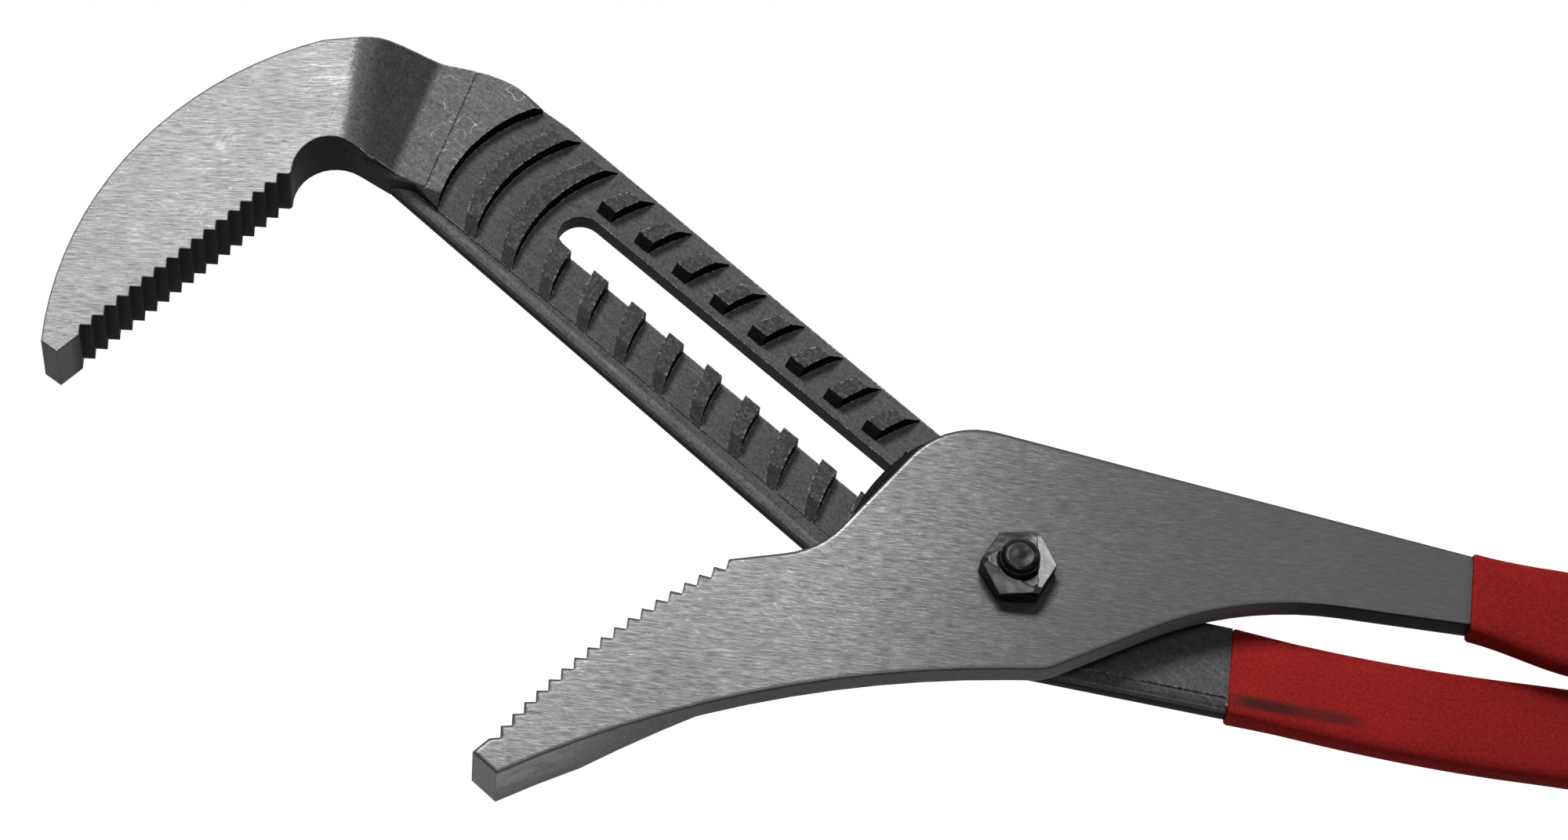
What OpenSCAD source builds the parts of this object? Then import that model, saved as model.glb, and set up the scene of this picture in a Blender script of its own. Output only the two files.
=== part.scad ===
// Tongue and groove water pump pliers with a long slotted jaw lever and a sliding pivot.
// Millimetres, +Z up. The tool lies flat with its nut on top and its handles along +X.
// The origin is on the pivot axis, at the underside of the bolt head.

/* [Grooves and slot] */
// Distance between two groove stops
pitch = 12.5; // [11.8:0.1:13.2]
// Groove stops from the drawn one up to the head
stops_up = 11; // [8:1:12]
// Groove stops from the drawn one down to the handle
stops_down = 1; // [1:1:2]
// Outer radius of each groove about its own stop
groove_r = 39; // [38.5:0.1:41]
// Width of a rib top on the slot axis
rib_top = 4.9; // [4.2:0.1:5.6]
// Height of the ribs above the groove floor
rib_h = 4.1; // [3.4:0.1:4.6]
// Width of the slot
slot_w = 11.9; // [11.6:0.1:12.6]
// Angle of the slot below the handle direction
slot_angle = 30; // [28:0.5:32]

/* [Slotted lever] */
// Thickness from the back face to the rib tops
shank_t = 9.6; // [9:0.1:11]
// Shank edge on the side away from the jaws, from the slot axis
shank_far = 20.8; // [20:0.1:22]
// Shank edge on the jaw side at the head, from the slot axis
shank_near = 22; // [21.5:0.1:23.5]
// Radius of the rounded shank edge on the jaw side
edge_r = 3.6; // [2:0.1:5]
// Radius of the back of the upper jaw
jaw_back_r = 95; // [86:1:105]
// Radius of the throat between jaw and shank
throat_r = 10.7; // [9:0.1:11.5]
// Width of the slotted handle
handle_low_w = 21.3; // [20.4:0.1:22]
// Thickness of the slotted handle
bar_t = 7; // [6.2:0.1:8]

/* [Front lever] */
// Thickness of the front lever plate
plate_t = 7; // [6:0.1:8.5]
// Height of the boss that the plate turns on
boss_h = 1.4; // [1.2:0.1:2.5]
// Diameter of that boss
boss_d = 44; // [36:1:46]
// Radial thickness of the tongue
tongue_w = 6.3; // [4:0.1:6.5]
// Radius of the gentle arc that the front teeth follow
front_jaw_r = 190; // [160:2:240]
// Width of the front handle bar inside its grip
handle_up_w = 16.6; // [15:0.1:17.2]

/* [Teeth] */
// Tooth pitch of the upper jaw
upper_pitch = 3.93; // [3.7:0.01:4.1]
// Tooth pitch of the front jaw
front_pitch = 4.1; // [3.9:0.01:4.3]
// Teeth on the upper jaw
upper_teeth = 17; // [15:1:17]
// Teeth on the front jaw
front_teeth = 18; // [16:1:19]

/* [Bolt and nut] */
// Height of the bolt head
head_h = 4.5; // [3:0.1:6]
// Diameter of the bolt head
head_d = 22; // [19:0.5:26]
// Length of the flat-sided neck along the slot
neck_l = 14; // [12:0.1:14.4]
// Diameter of the shoulder that the front lever turns on
shoulder_d = 11; // [10.4:0.1:11.4]
// Diameter of the threaded end
thread_d = 9.6; // [8.6:0.1:10]
// Width of the nut across its flats
nut_af = 16; // [15:0.1:18]
// Height of the nut
nut_h = 7; // [6:0.1:9]
// Length of the bolt end that stands out of the nut
bolt_proud = 3; // [2:0.1:4]

/* [Grips] */
// Thickness of the vinyl on the broad faces
vinyl_t = 1.3; // [0.8:0.1:1.5]
// Reach of the slotted lever grip from the pivot
handle_reach = 297; // [280:1:330]
// Width of the slotted lever grip
grip_low_w = 24.2; // [23:0.1:26]
// Width of the front lever grip
grip_up_w = 25.2; // [23:0.1:27]
// Length over which the slotted lever grip grows to its width
low_flare = 80; // [60:1:100]
// Length over which the front lever grip grows to its width
up_flare = 27; // [20:1:40]
// Straight length at the start of the slotted lever grip
low_lead = 20; // [10:1:30]
// Straight length at the start of the front lever grip
up_lead = 34; // [20:1:45]
// Radius of the bow of the slotted handle
low_bow_r = 480; // [420:5:540]
// Radius of the back bend of the slotted handle
low_bend_r = 500; // [420:5:560]
// Radius of the bend of the front handle
up_bend_r = 440; // [380:5:500]
// Slant of the vinyl edge across both handles
dip_ang = 5.5; // [0:0.5:8]

/* [Clearances] */
// Running gap between flat faces that slide on each other
play = 0.15; // [0.1:0.01:0.3]
// Gap between the neck and each side of the slot
slot_play = 0.1; // [0.05:0.01:0.2]
// Radial gap of the shoulder in its bore and of the thread in the nut
turn_play = 0.05; // [0.02:0.01:0.1]
// Gap between the tongue and the groove wall that it bears on
tongue_play = 0.25; // [0.15:0.05:0.5]
// Gap between a grip and the handle inside it
grip_fit = 0.04; // [0.02:0.01:0.1]

/* [Hidden] */
$fn = 96;
arc_tol = 0.05;
z_back = head_h + play;
z_rib = z_back + shank_t;
z_floor = z_rib - rib_h;
z_bar = z_back + bar_t;
z_mate = z_rib + play;
z_plate = z_mate + boss_h;
z_face = z_plate + plate_t;
z_nut = z_face + play;
z_end = z_nut + nut_h + bolt_proud;
x_head = -stops_up * pitch;
groove_in = groove_r - (pitch - rib_top);
tongue_in = groove_in + tongue_play;
slot_room = 2;
slot_up = x_head - neck_l / 2 - slot_room;
slot_down = stops_down * pitch + neck_l / 2 + slot_room;
gutter = shank_near - 3.3;
rib_draft = 3.2;
far_run = 3.4;
far_drop = 0.9;
pad_far = shank_far - 1.3;
rib_far = shank_far - far_drop - 0.2;
edge_ang = -0.95;
edge_start = [x_head - 54, 0.5 - shank_near];
handle_tilt = 0.8;
handle_low_y = -8.2;
handle_under = handle_low_y - handle_low_w / 2;
handle_over = handle_low_y + handle_low_w / 2;
low_bar_w = handle_low_w - 3;
low_proud = 0.65;
up_proud = 1.3;
end_wall = 6;
low_step = 55.1;
up_step = 108;
up_y = 20.05;
front_over = 29.2;
front_under = 11.4;
mid_travel = (stops_up - stops_down) / 2 * pitch * cos(slot_angle);
past = 2 * handle_reach;
ramp_ang = 22.8;
scribe_ang = 21.5;
tongue_ledge = 4.2;
forged = [0.24, 0.24, 0.25];
ground = [0.62, 0.62, 0.63];
plated = [0.5, 0.5, 0.5];
vinyl = [0.6, 0.12, 0.1];

// Points of a circular arc about c
function arc_pts(c, r, a0, a1) =
    let (n = max(2, ceil(abs(a1 - a0) / (2 * acos(1 - arc_tol / r)))))
    [for (k = [0:n]) c + r * [cos(a0 + (a1 - a0) * k / n), sin(a0 + (a1 - a0) * k / n)]];

// Turn from a0 to a1 the short way round
function short_way(a0, a1) = a1 - a0 > 180 ? a1 - 360 : (a1 - a0 < -180 ? a1 + 360 : a1);

// Corner q between p and s, rounded with radius r
function corner_pts(p, q, s, r) =
    let (u = (p - q) / norm(p - q),
         v = (s - q) / norm(s - q),
         half = acos(max(-1, min(1, u * v))) / 2,
         t = r / tan(half),
         c = q + (u + v) / norm(u + v) * (r / sin(half)),
         f = q + u * t - c,
         g = q + v * t - c,
         a0 = atan2(f[1], f[0]))
    arc_pts(c, r, a0, short_way(a0, atan2(g[1], g[0])));

// Outline from a list of [x, y, corner radius]
function rounded(pts) =
    let (n = len(pts), xy = [for (p = pts) [p[0], p[1]]])
    [for (i = [0:n - 1])
        each (pts[i][2] > 0
            ? corner_pts(xy[(i + n - 1) % n], xy[i], xy[(i + 1) % n], pts[i][2])
            : [xy[i]])];

// A point of the tool frame in the slot frame
function in_slot(p) =
    [p[0] * cos(slot_angle) - p[1] * sin(slot_angle), p[0] * sin(slot_angle) + p[1] * cos(slot_angle)];

// Where the line through p with heading a meets the line through q with heading b
function meet(p, a, q, b) =
    let (d = q - p)
    p + [cos(a), sin(a)] * (d[0] * sin(b) - d[1] * cos(b)) / sin(b - a);

// X of the slanted vinyl edge at the height y, on a handle with its middle at [x, y0]
function dip_x(x, y0, y) = x - (y - y0) * tan(dip_ang);

// Centre of the circle of radius r through p and q, to the right of the way from p to q
function through(p, q, r) =
    let (m = (p + q) / 2, d = (q - p) / norm(q - p))
    m + [d[1], -d[0]] * sqrt(r * r - norm(q - p) * norm(q - p) / 4);

// Upper jaw in the slot frame: the crest line, the tip and the back arc
crest_ang = 5.15;
crest_end = [x_head - 62.9, -41.5];
crest_dir = [-sin(crest_ang), -cos(crest_ang)];
crest_out = [cos(crest_ang), -sin(crest_ang)];
upper_len = upper_teeth * upper_pitch;
upper_tip = crest_end + crest_dir * (upper_len + 6.9);
upper_toe = upper_tip - crest_out * 4.8 + crest_dir * 0.9;
upper_nape = [x_head - 83, -8.2];
nape_knee = [x_head - 73.2, pad_far - 16.4];
back_c = through(upper_toe, upper_nape, jaw_back_r);
toe_a = atan2(upper_toe[1] - back_c[1], upper_toe[0] - back_c[0]) + 360;
nape_a = atan2(upper_nape[1] - back_c[1], upper_nape[0] - back_c[0]);
throat_c = [x_head - 65.6 + throat_r, -33.5];
upper_zigzag = [for (i = [0:2 * upper_teeth])
    crest_end + crest_dir * (i * upper_pitch / 2) - crest_out * (i % 2) * upper_pitch / 2];
head_outline = concat(
    [for (i = [2 * upper_teeth:-1:0]) upper_zigzag[i]],
    arc_pts(throat_c, throat_r, 222, 100),
    [[x_head - 48, 0.5 - shank_near], [x_head - 42, -gutter]],
    [[x_head - 28, -gutter], [x_head - 28, pad_far]],
    corner_pts([x_head - 28, pad_far], [x_head - 44.9, pad_far], nape_knee, 36),
    corner_pts([x_head - 44.9, pad_far], nape_knee, upper_nape, 30),
    arc_pts(back_c, jaw_back_r, nape_a, toe_a),
    [upper_tip]);

// Front lever in the tool frame: the tooth arc, then the rest of its outline
front_end = [-67.75, -12.46];
front_ang = 130.7;
front_c = front_end - front_jaw_r * [cos(front_ang), sin(front_ang)];
front_step = front_pitch / front_jaw_r * 180 / PI;
front_zigzag = [for (i = [0:2 * front_teeth])
    let (a = front_ang + i * front_step / 2)
    front_c + (front_jaw_r - (i % 2) * front_pitch / 2) * [cos(a), sin(a)]];
front_tip = front_zigzag[2 * front_teeth] + [-3.05, -4.2];
front_toe = front_tip + [6.65, -4];
belly_r = 280;
arch_r = 88;
front_outline = concat(
    [for (i = [2 * front_teeth:-1:1]) front_zigzag[i]],
    rounded([concat(front_end, [0]), [-47.2, -5, 23], [-23.9, 36, 21],
             [dip_x(up_step, up_y, front_over), front_over, 0],
             [dip_x(up_step, up_y, front_under), front_under, 0], [54, 7.1, arch_r], [11.8, -23.1, 12],
             [-59.1, -38.7, belly_r], concat(front_toe, [0]), concat(front_tip, [0])]));

// Flat part of the slotted lever up to its grip, in the slot frame, inside its rounded near edge
handle_ang = slot_angle + handle_tilt;
handle_end = in_slot([dip_x(low_step, handle_low_y, handle_under), handle_under]);
far_knee = (shank_far - far_drop - handle_over * cos(slot_angle)) / sin(slot_angle);
handle_in = handle_end + (shank_near - gutter) * [-sin(handle_ang), cos(handle_ang)];
shank_outline = rounded([
    [x_head - 30, -gutter, 0],
    concat(meet([0, -gutter], 0, handle_in, handle_ang), [50]),
    concat(handle_in, [0]),
    concat(in_slot([dip_x(low_step, handle_low_y, handle_over), handle_over]), [0]),
    concat(in_slot([far_knee, handle_over]), [40]),
    [x_head - 26, shank_far, 0],
    [x_head - 46, pad_far - 0.5, 0]]);

// Paths of the handles inside their grips: runs of [length, 0] or [radius, angle], left turns positive.
// The two grips end side by side when the pivot is halfway along the slot.
low_start = [low_step, handle_low_y - 0.4, -1];
low_bends = [[low_lead, 0], [low_bow_r, 6.2], [low_bend_r, -15.2]];
low_run = concat(low_bends, [[tail_len(low_start, low_bends, handle_reach), 0]]);
up_start = [up_step, up_y, -3.3];
up_bends = [[up_lead, 0], [up_bend_r, 15.3]];
up_run = concat(up_bends, [[tail_len(up_start, up_bends, handle_reach + mid_travel), 0]]);

// Length of a run, and of a whole path
function run_len(run) = run[1] == 0 ? run[0] : run[0] * abs(run[1]) * PI / 180;
function path_len(runs, i = 0) = i < len(runs) ? run_len(runs[i]) + path_len(runs, i + 1) : 0;

// Place [x, y, heading] after the length s of one run that starts at p
function along(p, run, s) = run[1] == 0
    ? [p[0] + s * cos(p[2]), p[1] + s * sin(p[2]), p[2]]
    : let (side = sign(run[1]), h = p[2] + side * s / run[0] * 180 / PI)
        [p[0] + side * run[0] * (sin(h) - sin(p[2])), p[1] - side * run[0] * (cos(h) - cos(p[2])), h];

// Place at the end of a path, and the straight tail that brings a grip to its reach
function path_end(p, runs, i = 0) =
    i < len(runs) ? path_end(along(p, runs[i], run_len(runs[i])), runs, i + 1) : p;
function tail_len(p, runs, reach) =
    let (q = path_end(p, runs))
    (reach - end_wall - q[0]) / cos(q[2]);

// Place at the length s of a path
function walk(p, runs, s, i = 0) = i == len(runs) - 1 || s <= run_len(runs[i])
    ? along(p, runs[i], s)
    : walk(along(p, runs[i], run_len(runs[i])), runs, s - run_len(runs[i]), i + 1);

// Outline of a bar of half width h along a path, from s0 to s1
function band(p, runs, s0, s1, h) = let (n = 28)
    concat([for (i = [0:n]) let (f = walk(p, runs, s0 + (s1 - s0) * i / n))
            [f[0] + h * sin(f[2]), f[1] - h * cos(f[2])]],
        [for (i = [n:-1:0]) let (f = walk(p, runs, s0 + (s1 - s0) * i / n))
            [f[0] - h * sin(f[2]), f[1] + h * cos(f[2])]]);

// Signed power that turns a circle into a round-cornered rectangle
function oval(v, k) = sign(v) * pow(abs(v), k);

// Grip as a swept surface: a round-cornered section along the handle path, its front edge slanted, its
// end drawn in; the width grows from w0 to w1 over the flare and the corners grow rounder
module grip_sweep(start, runs, s0, s1, w0, w1, flare, t) {
    m = 28;
    n = 40;
    lip = 0.8;
    lip_in = 0.04;
    dome = 11;
    slant_l = 14;
    square_k = 0.3;
    round_k = 0.5;
    dome_k = 2.4;
    last = 0.985;
    rings = [for (i = [0:n]) let (f = i / n) s0 + (s1 - s0) * (f * f * (3 - 2 * f))];
    pts = [for (i = [0:n], k = [0:m - 1])
        let (s = rings[i],
             q = last * max(0, (s - s1 + dome) / dome),
             g = pow(1 - pow(q, dome_k), 1 / dome_k) * (1 - lip_in * pow(max(0, 1 - (s - s0) / lip), 2)),
             e = min(1, (s - s0) / flare),
             c = min(1, (s - s0) / slant_l),
             j = square_k + (round_k - square_k) * c,
             a = (w0 + (w1 - w0) * e * e * (3 - 2 * e)) / 2 * g * oval(cos(360 * k / m), j),
             b = t / 2 * g * oval(sin(360 * k / m), j),
             f = walk(start, runs, s - a * tan(dip_ang - start[2]) * (1 - c)))
        [f[0] - a * sin(f[2]), f[1] + a * cos(f[2]), b]];
    sides = [for (i = [0:n - 1], k = [0:m - 1])
        let (p = i * m + k, q = i * m + (k + 1) % m)
        each [[p, p + m, q], [q, p + m, q + m]]];
    polyhedron(pts, concat([[for (k = [0:m - 1]) k]], sides, [[for (k = [m - 1:-1:0]) n * m + k]]));
}

// Prism along the u direction: profile in u and z, turned by ang about Z
module profile_prism(ang, half_w, pts) {
    rotate([0, 0, ang]) translate([0, half_w, 0]) rotate([90, 0, 0]) linear_extrude(2 * half_w) polygon(pts);
}

// Jaw, ramp and pad of the slotted lever; the ramp starts with a soft round
module upper_head() {
    ramp_top = -66.8;
    ramp_foot = -51.3;
    ramp_r = 14;
    scribe = -43.3;
    scribe_w = 0.5;
    scribe_d = 0.35;
    far_slope = (rib_h - 0.5) / far_run;
    difference() {
        translate([0, 0, z_floor - 0.4]) linear_extrude(z_face - z_floor + 0.4) difference() {
            polygon(head_outline);
            translate([x_head, 0]) circle(groove_r, $fn = 180);
        }
        translate([x_head, 0, 0])
            profile_prism(ramp_ang, 70, rounded([[ramp_top - 9, z_face + 1, 0],
                [ramp_top, z_face - 0.6, ramp_r], [ramp_foot, z_rib, 3], [60, z_rib, 0],
                [60, z_face + 1, 0]]));
        translate([x_head, 0, 0])
            profile_prism(scribe_ang, 70, [[scribe, z_rib + 1], [scribe, z_rib - scribe_d],
                [scribe + scribe_w, z_rib - scribe_d], [scribe + scribe_w, z_rib + 1]]);
        translate([x_head - 28, 4.6 - gutter, 0]) rotate([0, 0, 17]) translate([-34, 0, 0])
            rotate([90, 0, 90]) linear_extrude(34)
                polygon([[-14, z_floor], [-rib_draft, z_floor], [0, z_rib], [0, z_rib + 3],
                    [-14, z_rib + 3]]);
        translate([x_head - 28, pad_far - far_run, 0]) rotate([0, 0, -11]) translate([-40, 0, 0])
            rotate([90, 0, 90]) linear_extrude(44)
                polygon([[-1, z_rib + far_slope], [4, z_rib - 4 * far_slope], [14, z_rib - 4 * far_slope],
                    [14, z_rib + 3], [-1, z_rib + 3]]);
    }
}

// Crescent ribs between the grooves, cut to the two drafted strips beside the slot
module ribs() {
    full = slot_up - 0.6;
    near_in = 0.2 - gutter;
    intersection() {
        translate([0, 0, z_floor - 0.3]) linear_extrude(rib_h + 0.3)
            for (i = [-stops_up:stops_down]) difference() {
                translate([i * pitch, 0]) circle(groove_in, $fn = 180);
                translate([(i + 1) * pitch, 0]) circle(groove_r, $fn = 180);
            }
        union() {
            translate([full, 0, 0]) rotate([90, 0, 90]) linear_extrude(slot_down + 4 - full)
                polygon([[slot_w / 2 + 1.8, z_floor - 1], [slot_w / 2 + 2.2, z_floor],
                    [slot_w / 2 + 3.7, z_rib], [rib_far - far_run, z_rib],
                    [rib_far, z_floor + 0.5], [rib_far, z_floor - 1]]);
            translate([full, 0, 0]) rotate([90, 0, 90]) linear_extrude(slot_down + 4 - full)
                polygon([[near_in, z_floor - 1], [near_in, z_floor], [near_in + rib_draft, z_rib],
                    [-1, z_rib], [-1, z_floor - 1]]);
            translate([x_head - 40, 0, 0]) rotate([90, 0, 90]) linear_extrude(full - x_head + 40)
                polygon([[near_in, z_floor - 1], [near_in, z_floor], [near_in + rib_draft, z_rib],
                    [rib_far - far_run, z_rib], [rib_far, z_floor + 0.5], [rib_far, z_floor - 1]]);
        }
    }
}

// Flat layer of the slotted lever below the ribs, and the thicker handle on inside the grip
module lever_base() {
    bar_from = slot_down + 2;
    core_lap = 0.3;
    translate([0, 0, z_back]) linear_extrude(z_floor - z_back) {
        polygon(head_outline);
        polygon(shank_outline);
    }
    translate([0, 0, z_back]) linear_extrude(z_bar - z_back) {
        intersection() {
            polygon(shank_outline);
            translate([bar_from, -past / 2]) square(past);
        }
        rotate(slot_angle) intersection() {
            polygon(band(low_start, low_run, -2, path_len(low_run) - end_wall, low_bar_w / 2));
            translate([low_step - core_lap, handle_low_y]) rotate(dip_ang)
                translate([0, -past / 2]) square(past);
        }
    }
}

// Profile of the rounded near edge, from its outside inwards
function edge_profile(bottom, top) = concat(
    [[past, bottom], [0.4, bottom], [0, bottom + 0.4]],
    arc_pts([edge_r, top - edge_r], edge_r, 180, 90),
    [[9, top], [12, z_face], [past, z_face]]);

// Rounded edge on the jaw side, along the shank and on along the handle to its grip
module near_edge() {
    strip = 7;
    shank_in = edge_start + strip * [-sin(edge_ang), cos(edge_ang)];
    handle_inner = handle_end + strip * [-sin(handle_ang), cos(handle_ang)];
    corner = meet(edge_start, edge_ang, handle_end, handle_ang);
    intersection() {
        translate(edge_start) rotate([0, 0, edge_ang]) rotate([90, 0, 90]) linear_extrude(past)
            polygon(edge_profile(z_back + 0.3, z_floor - 0.3));
        translate(handle_end) rotate([0, 0, handle_ang]) translate([-past / 2, 0, 0]) rotate([90, 0, 90])
            linear_extrude(past) polygon(edge_profile(z_back + 0.6, z_bar - 0.4));
        linear_extrude(z_bar) polygon([edge_start + [0.1, -strip], corner + [0, -strip],
            handle_end + strip * [sin(handle_ang), -cos(handle_ang)], handle_end, handle_inner,
            meet(shank_in, edge_ang, handle_inner, handle_ang), shank_in + [0.1, 0]]);
    }
}

module slotted_jaw_lever() {
    color(forged) rotate([0, 0, -slot_angle]) difference() {
        union() {
            upper_head();
            near_edge();
            ribs();
            lever_base();
        }
        translate([0, 0, z_back - 1]) linear_extrude(z_end) {
            translate([slot_up + slot_w / 2, -slot_w / 2]) square([slot_down - slot_up - slot_w, slot_w]);
            translate([slot_up + slot_w / 2, 0]) circle(d = slot_w);
            translate([slot_down - slot_w / 2, 0]) circle(d = slot_w);
        }
    }
}

// Tongue on the underside of the plate, an arc about the pivot with a wider ledge above it
module tongue() {
    spread = 26;
    r = tongue_in + tongue_w;
    rotate([0, 0, 180 - slot_angle - spread]) rotate_extrude(angle = 2 * spread)
        polygon([[tongue_in, z_floor + 0.3], [r, z_floor + 0.3], [r, z_mate], [r + tongue_ledge, z_mate],
            [r + tongue_ledge, z_plate + 0.5], [tongue_in, z_plate + 0.5]]);
}

module front_jaw_lever() {
    relief_ang = -20;
    relief_top = -46;
    relief_run = 18;
    relief_slope = relief_run / (z_plate - z_back);
    color(ground) difference() {
        union() {
            difference() {
                translate([0, 0, z_back]) linear_extrude(z_face - z_back) {
                    polygon(front_outline);
                    polygon(band(up_start, up_run, -2, path_len(up_run) - end_wall, handle_up_w / 2));
                }
                profile_prism(relief_ang, past / 2, [[relief_top - relief_run - relief_slope, z_back - 1],
                    [relief_top, z_plate], [past, z_plate], [past, z_back - 1]]);
            }
            translate([0, 0, z_mate]) cylinder(d = boss_d, h = boss_h + 0.5);
            tongue();
        }
        translate([0, 0, z_mate - 1]) cylinder(d = shoulder_d + 2 * turn_play, h = z_end);
    }
}

module pivot_bolt() {
    neck_w = slot_w - 2 * slot_play;
    color(plated) union() {
        rotate_extrude() polygon([[0, 0], [head_d / 2 - 1.2, 0], [head_d / 2, 1.2], [head_d / 2, head_h],
            [0, head_h]]);
        rotate([0, 0, -slot_angle]) translate([0, 0, head_h - 0.5]) linear_extrude(z_mate - head_h + 0.3)
            intersection() {
                square([neck_l, neck_w], center = true);
                union() {
                    square([neck_l - neck_w, neck_w + 1], center = true);
                    for (x = [-1, 1]) translate([x * (neck_l - neck_w) / 2, 0]) circle(d = neck_w);
                }
            }
        rotate_extrude() polygon([[0, z_mate - 1], [shoulder_d / 2, z_mate - 1], [shoulder_d / 2, z_nut],
            [thread_d / 2, z_nut], [thread_d / 2, z_end - 1.1], [thread_d / 2 - 1, z_end - 0.2],
            [thread_d / 2 - 1.6, z_end], [0, z_end]]);
    }
}

module lock_nut() {
    nut_turn = 11;
    crimp_in = nut_af * 0.27;
    crimp_drop = 0.35;
    color(plated) translate([0, 0, z_nut]) rotate([0, 0, nut_turn]) difference() {
        cylinder(d = nut_af / cos(30), h = nut_h, $fn = 6);
        translate([0, 0, -1]) cylinder(d = thread_d + 2 * turn_play, h = nut_h + 2);
        rotate_extrude() polygon([[nut_af / 2 - 0.6, nut_h + 0.1], [nut_af / 2 - 0.6, nut_h],
            [nut_af / 2 + 3.4, nut_h - 2.6], [nut_af / 2 + 3.4, nut_h + 0.1]]);
        rotate_extrude() polygon([[0, nut_h - 0.7], [thread_d / 2, nut_h - 0.7],
            [thread_d / 2 + 0.8, nut_h + 0.1], [0, nut_h + 0.1]]);
        for (a = [0, 120, 240])
            rotate([0, 0, a]) translate([crimp_in, 0, nut_h - crimp_drop]) rotate([0, 22, 0])
                translate([0, -nut_af, 0]) cube([2 * nut_af, 2 * nut_af, nut_h]);
    }
}

module slotted_lever_grip() {
    t = z_bar - z_back;
    end = path_len(low_run);
    lip_w = handle_low_w + 2 * low_proud;
    color(vinyl) translate([0, 0, (z_back + z_bar) / 2]) difference() {
        grip_sweep(low_start, low_run, play, end + end_wall, lip_w, grip_low_w, low_flare, t + 2 * vinyl_t);
        translate([0, 0, -t / 2 - grip_fit]) linear_extrude(t + 2 * grip_fit)
            polygon(band(low_start, low_run, -2, end - end_wall + grip_fit, low_bar_w / 2 + grip_fit));
    }
}

module front_lever_grip() {
    end = path_len(up_run);
    lip_w = front_over - front_under + 2 * up_proud;
    color(vinyl) translate([0, 0, (z_plate + z_face) / 2]) difference() {
        grip_sweep(up_start, up_run, play, end + end_wall, lip_w, grip_up_w, up_flare,
            plate_t + 2 * vinyl_t);
        translate([0, 0, -plate_t / 2 - grip_fit]) linear_extrude(plate_t + 2 * grip_fit)
            polygon(band(up_start, up_run, -2, end - end_wall + grip_fit, handle_up_w / 2 + grip_fit));
    }
}

slotted_jaw_lever();
front_jaw_lever();
pivot_bolt();
lock_nut();
slotted_lever_grip();
front_lever_grip();
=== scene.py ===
"""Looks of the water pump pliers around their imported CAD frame.

The levers, bolt and nut keep their CAD nodes and get finishes; the two vinyl grips are
new swept surfaces. All finishes are procedural and read places in millimetres.
"""

import logging
import math
from dataclasses import dataclass, field, replace
from enum import Enum
from typing import Any, Optional, Sequence, Union

import bpy
import numpy as np
from mathutils import Matrix, Vector


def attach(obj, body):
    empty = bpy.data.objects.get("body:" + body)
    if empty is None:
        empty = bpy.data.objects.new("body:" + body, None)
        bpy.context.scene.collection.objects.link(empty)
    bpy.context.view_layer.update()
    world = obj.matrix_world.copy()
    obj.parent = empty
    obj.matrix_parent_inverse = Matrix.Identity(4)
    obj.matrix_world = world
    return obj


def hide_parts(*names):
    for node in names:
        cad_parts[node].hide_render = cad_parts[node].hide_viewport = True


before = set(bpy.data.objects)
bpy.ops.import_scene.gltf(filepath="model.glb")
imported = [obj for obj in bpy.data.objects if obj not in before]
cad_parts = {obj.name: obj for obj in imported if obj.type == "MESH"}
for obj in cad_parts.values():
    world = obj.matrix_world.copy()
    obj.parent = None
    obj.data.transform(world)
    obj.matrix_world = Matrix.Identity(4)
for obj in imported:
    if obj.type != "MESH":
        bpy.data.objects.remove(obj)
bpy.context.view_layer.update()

LOG = logging.getLogger("pliers")
MM = 0.001
PER_METRE = 1000.0
NOISE_MIDDLE = 0.5
BEVEL_SAMPLES = 8
SENSOR_MM = 36.0
STEEL_SPECULAR = 0.06
# Values of the edge mask where the dark line of painted shade along an edge starts and is full.
EDGE_SHADE_LINE = (0.01, 0.16)
WHITE = (1.0, 1.0, 1.0, 1.0)

Term = Union["Sock", float]
Span = tuple[float, float]
Triple = tuple[float, float, float]
Scuff = tuple[float, float, float, float]


class Body(Enum):
    """Rigid bodies of the CAD frame that the new pieces ride on."""

    SLOTTED = "slotted_lever"
    FRONT = "front_lever"


class Slot(Enum):
    """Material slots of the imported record."""

    FORGED = "forged_steel"
    GROUND = "ground_steel"
    BOLT = "bolt_steel"
    NUT = "nut_steel"
    VINYL = "vinyl"


class Axis(Enum):
    """Parts of the place in millimetres and of the surface normal, as source and index."""

    X = ("Object", 0)
    Y = ("Object", 1)
    Z = ("Object", 2)
    NX = ("Normal", 0)
    NY = ("Normal", 1)
    NZ = ("Normal", 2)


# Axes, and where a smooth step along each starts and is full. A finish's fields that end in _at
# are such limits, and say where on the piece something lies.
Limits = tuple[tuple[Axis, float, float], ...]


def turned(x: Term, y: Term, deg: float) -> tuple[Term, Term]:
    """Turns a place into its parts along and across a direction.

    The parts are x cos + y sin and y cos - x sin of the direction.

    Args:
        x: first part of the place.
        y: second part of the place.
        deg: the direction in the tool's frame, in degrees.

    Returns:
        The parts along and across.
    """
    c, s = math.cos(math.radians(deg)), math.sin(math.radians(deg))
    return x * c + y * s, y * c - x * s


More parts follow.
